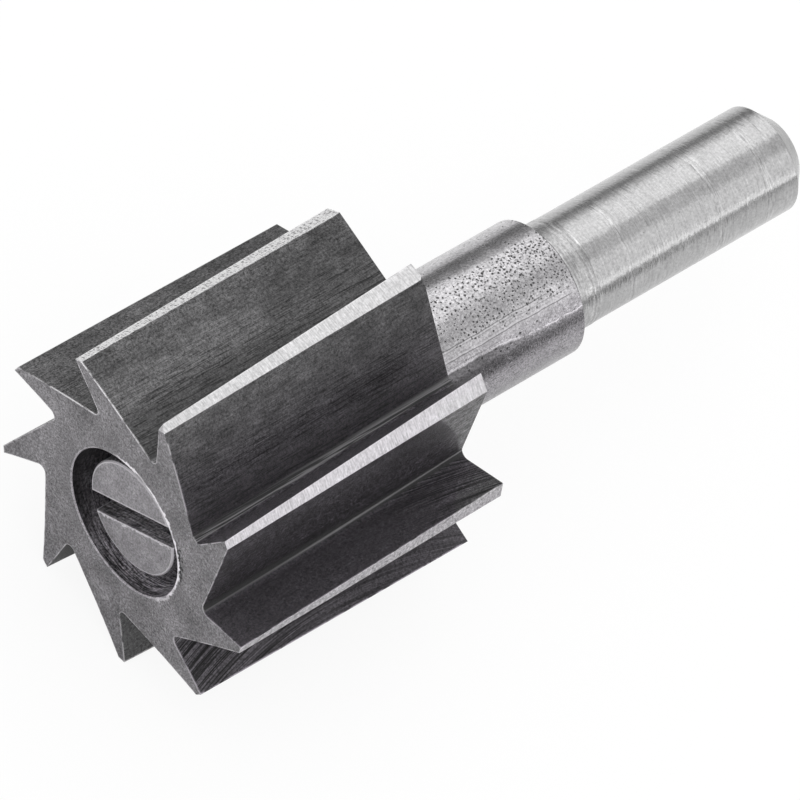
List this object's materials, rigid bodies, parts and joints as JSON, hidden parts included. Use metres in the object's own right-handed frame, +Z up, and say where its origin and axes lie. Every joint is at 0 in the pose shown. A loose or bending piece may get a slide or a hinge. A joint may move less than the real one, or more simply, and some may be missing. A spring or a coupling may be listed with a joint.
{
  "type": "grooving router bit",
  "caption": "Grooving router bit with a toothed steel head, clamped to a stepped arbor and round shank by a slotted screw.",
  "frame": {"origin": "on the surface that the bit lies on, under the axis and halfway along it", "axes": "+X along the axis from the toothed front face to the shank's free end, +Z up, with the bit lying on two teeth"},
  "size_m": [0.0577, 0.0248, 0.0246],
  "materials": {
    "tool_steel": "dark ground tool steel with bright ground lands",
    "arbor_steel": "bright turned steel, finely pitted on the collar and satin on the shank",
    "screw_steel": "smooth matt grey steel"
  },
  "bodies": {
    "root": {"cutter": "tool_steel", "arbor": "arbor_steel", "clamp_screw": "screw_steel"}
  },
  "joints": []
}
